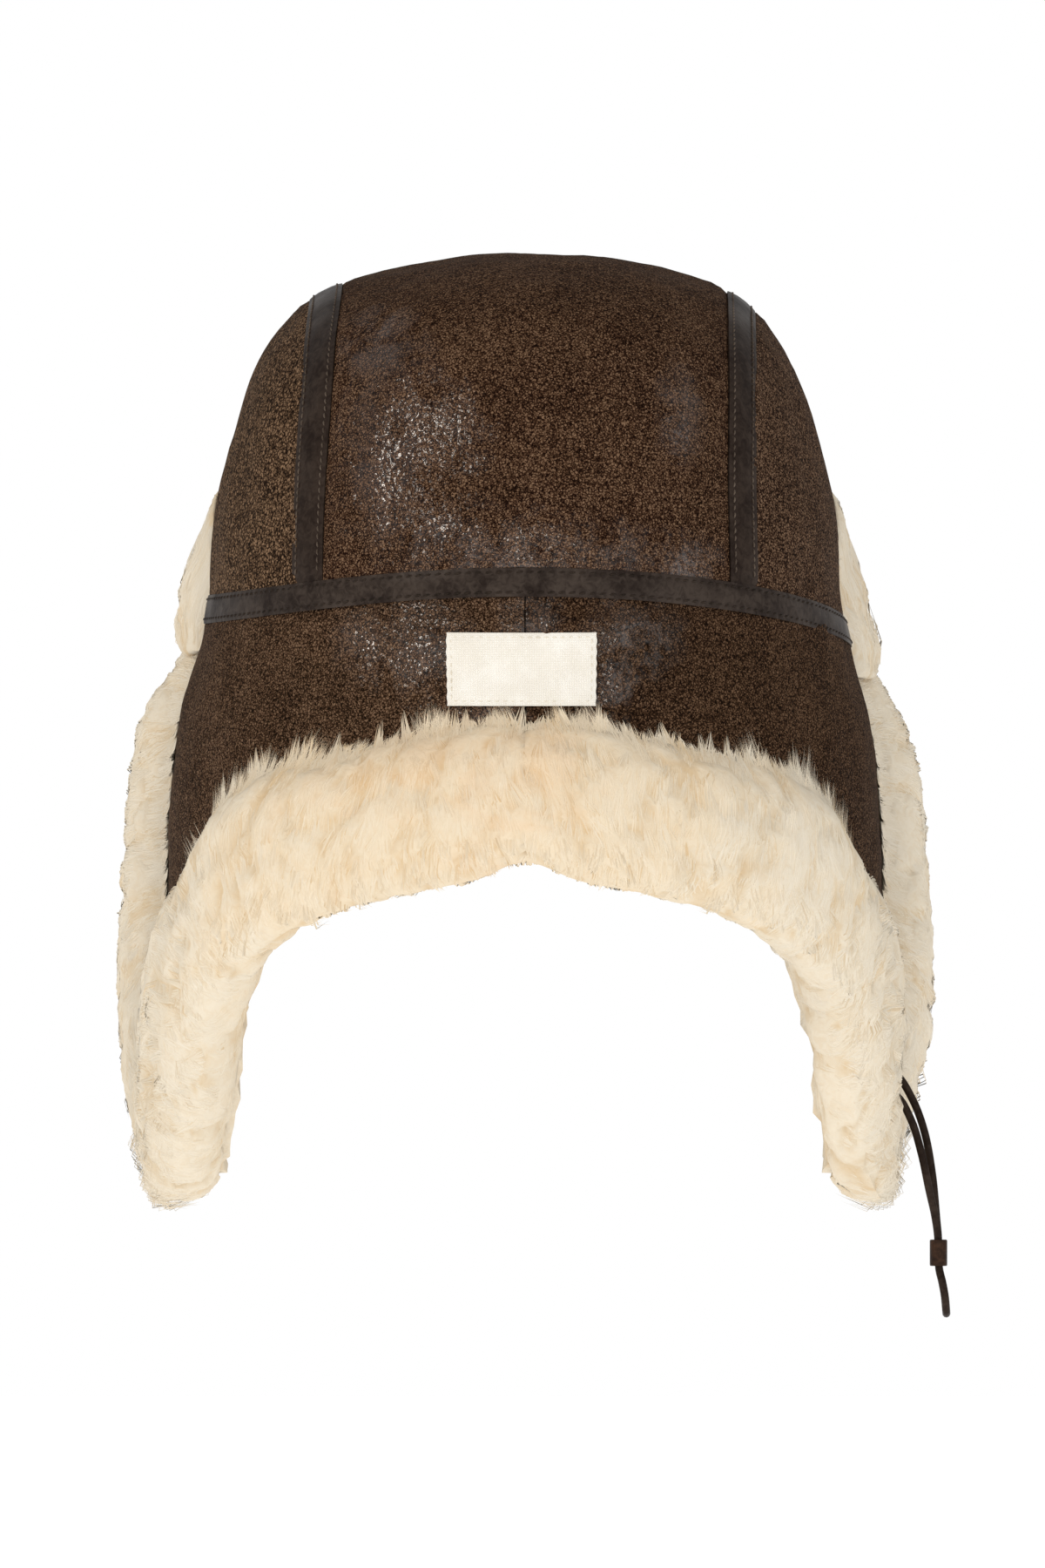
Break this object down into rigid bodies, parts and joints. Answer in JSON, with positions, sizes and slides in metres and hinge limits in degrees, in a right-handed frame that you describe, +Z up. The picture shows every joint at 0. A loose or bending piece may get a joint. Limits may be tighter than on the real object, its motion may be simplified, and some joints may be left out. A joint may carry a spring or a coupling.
{
  "type": "sheepskin trapper hat",
  "caption": "Sheepskin winter hat with a brown leather crown, taped seams, cream wool borders, ear flaps and a lace loop.",
  "frame": {"origin": "middle of the head opening, level with the brow, where a head holds the hat", "axes": "+Z up, +Y towards the wearer's face, +X towards the wearer's right"},
  "size_m": [0.2682, 0.2717, 0.3397],
  "materials": {
    "crown_leather": "distressed, semi-gloss",
    "tape_leather": "smooth, satin",
    "wool": "deep cream wool pile",
    "woven_patch": "plain weave, matt"
  },
  "bodies": {
    "root": {"crown_center_panel": "crown_leather", "crown_side_panel_left": "crown_leather", "crown_side_panel_right": "crown_leather", "crown_tape_left": "tape_leather", "crown_tape_right": "tape_leather", "band_tape": "tape_leather", "skirt_leather_left": "crown_leather", "skirt_leather_right": "crown_leather", "label": "woven_patch", "crown_wool_lining": "wool", "skirt_wool_lining_left": "wool", "skirt_wool_lining_right": "wool", "edge_fur_left": "wool", "edge_fur_right": "wool", "brow_flap_leather": "crown_leather", "brow_flap_fur": "wool", "lace": "tape_leather", "lace_keeper": "tape_leather", "flap_button": "tape_leather"}
  },
  "joints": []
}
